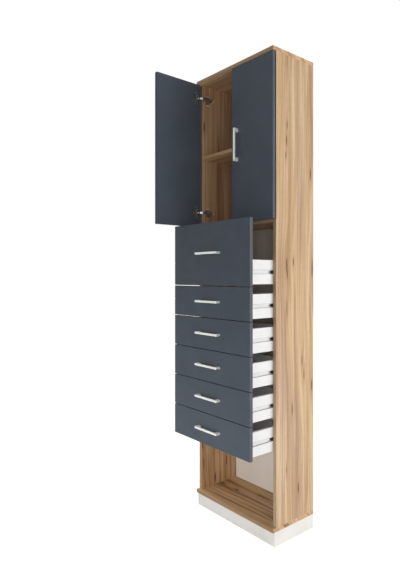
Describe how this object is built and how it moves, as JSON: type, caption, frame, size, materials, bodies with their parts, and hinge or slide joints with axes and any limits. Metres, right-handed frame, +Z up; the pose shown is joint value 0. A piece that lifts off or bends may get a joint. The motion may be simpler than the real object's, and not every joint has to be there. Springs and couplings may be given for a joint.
{
  "type": "tall cabinet with doors and drawers",
  "caption": "Tall shallow cabinet with oak-look carcase, hinged graphite doors over a shelf, a stack of sliding drawers on runner strips, an open niche and a plinth.",
  "frame": {"origin": "on the floor, in the middle of the width and in the plane of the carcase's front edges, at the middle of the plinth's front rail's underside", "axes": "+X to the viewer's right, -Y towards the viewer at the front, +Z up"},
  "size_m": [0.521, 0.499, 2.042],
  "materials": {
    "oak": "plank-look laminate, matt",
    "graphite": "graphite laminate, matt",
    "white_board": "white laminate, matt",
    "back_board": "pale grey-beige hardboard",
    "plinth_board": "pale grey-white laminate",
    "dowel_wood": "plain beech",
    "nickel": "satin nickel",
    "hinge_steel": "nickel-plated steel",
    "screw_steel": "zinc-plated steel",
    "runner_plastic": "black plastic"
  },
  "bodies": {
    "cabinet": {"top_board": "oak", "bottom_board": "oak", "left_side_panel": "oak", "right_side_panel": "oak", "middle_board": "oak", "shelf": "oak", "back_panel": "back_board", "plinth_front_rail": "plinth_board", "plinth_back_rail": "plinth_board", "plinth_left_rail": "plinth_board", "plinth_right_rail": "plinth_board", "dowels": "dowel_wood", "shelf_pins": "screw_steel", "left_runner_strips": "runner_plastic", "right_runner_strips": "runner_plastic", "runner_screws": "screw_steel", "hinge_arms": "hinge_steel", "hinge_plates": "hinge_steel", "hinge_plate_screws": "screw_steel"},
    "left_hinge_links": {"left_hinge_links": "hinge_steel"},
    "left_door": {"left_door": "graphite", "left_door_handle": "nickel", "left_hinge_cups": "hinge_steel"},
    "right_hinge_links": {"right_hinge_links": "hinge_steel"},
    "right_door": {"right_door": "graphite", "right_door_handle": "nickel", "right_hinge_cups": "hinge_steel"},
    "drawer_1": {"drawer_1_front": "graphite", "drawer_1_sides": "white_board", "drawer_1_back": "white_board", "drawer_1_bottom": "white_board", "drawer_1_handle": "nickel"},
    "drawer_2": {"drawer_2_front": "graphite", "drawer_2_sides": "white_board", "drawer_2_back": "white_board", "drawer_2_bottom": "white_board", "drawer_2_handle": "nickel"},
    "drawer_3": {"drawer_3_front": "graphite", "drawer_3_sides": "white_board", "drawer_3_back": "white_board", "drawer_3_bottom": "white_board", "drawer_3_handle": "nickel"},
    "drawer_4": {"drawer_4_front": "graphite", "drawer_4_sides": "white_board", "drawer_4_back": "white_board", "drawer_4_bottom": "white_board", "drawer_4_handle": "nickel"},
    "drawer_5": {"drawer_5_front": "graphite", "drawer_5_sides": "white_board", "drawer_5_back": "white_board", "drawer_5_bottom": "white_board", "drawer_5_handle": "nickel"},
    "drawer_6": {"drawer_6_front": "graphite", "drawer_6_sides": "white_board", "drawer_6_back": "white_board", "drawer_6_bottom": "white_board", "drawer_6_handle": "nickel"}
  },
  "joints": [
    {"name": "left_link_turn", "type": "hinge", "parent": "cabinet", "child": "left_hinge_links", "pos_m": [-0.218, -0.00699, 1.682], "axis": [0, 0, 1], "range_deg": [-46.95, 4.18]},
    {"name": "left_door_turn", "type": "hinge", "parent": "left_hinge_links", "child": "left_door", "pos_m": [-0.2345, -0.021, 1.682], "axis": [0, 0, -1], "range_deg": [-136.94, 12.17]},
    {"name": "right_link_turn", "type": "hinge", "parent": "cabinet", "child": "right_hinge_links", "pos_m": [0.218, -0.00699, 1.682], "axis": [0, 0, -1], "range_deg": [-0.01, 51.12]},
    {"name": "right_door_turn", "type": "hinge", "parent": "right_hinge_links", "child": "right_door", "pos_m": [0.2395, -0.0045, 1.682], "axis": [0, 0, 1], "range_deg": [0, 149.12]},
    {"name": "drawer_1_slide", "type": "slide", "parent": "cabinet", "child": "drawer_1", "axis": [0, -1, 0], "range_m": [-0.13, 0.04]},
    {"name": "drawer_2_slide", "type": "slide", "parent": "cabinet", "child": "drawer_2", "axis": [0, -1, 0], "range_m": [-0.13, 0.04]},
    {"name": "drawer_3_slide", "type": "slide", "parent": "cabinet", "child": "drawer_3", "axis": [0, -1, 0], "range_m": [-0.13, 0.04]},
    {"name": "drawer_4_slide", "type": "slide", "parent": "cabinet", "child": "drawer_4", "axis": [0, -1, 0], "range_m": [-0.13, 0.04]},
    {"name": "drawer_5_slide", "type": "slide", "parent": "cabinet", "child": "drawer_5", "axis": [0, -1, 0], "range_m": [-0.13, 0.04]},
    {"name": "drawer_6_slide", "type": "slide", "parent": "cabinet", "child": "drawer_6", "axis": [0, -1, 0], "range_m": [-0.13, 0.04]}
  ],
  "couplings": [
    {"joint": "left_link_turn", "follows": "left_door_turn", "ratio": 0.34279},
    {"joint": "right_link_turn", "follows": "right_door_turn", "ratio": 0.34279}
  ]
}
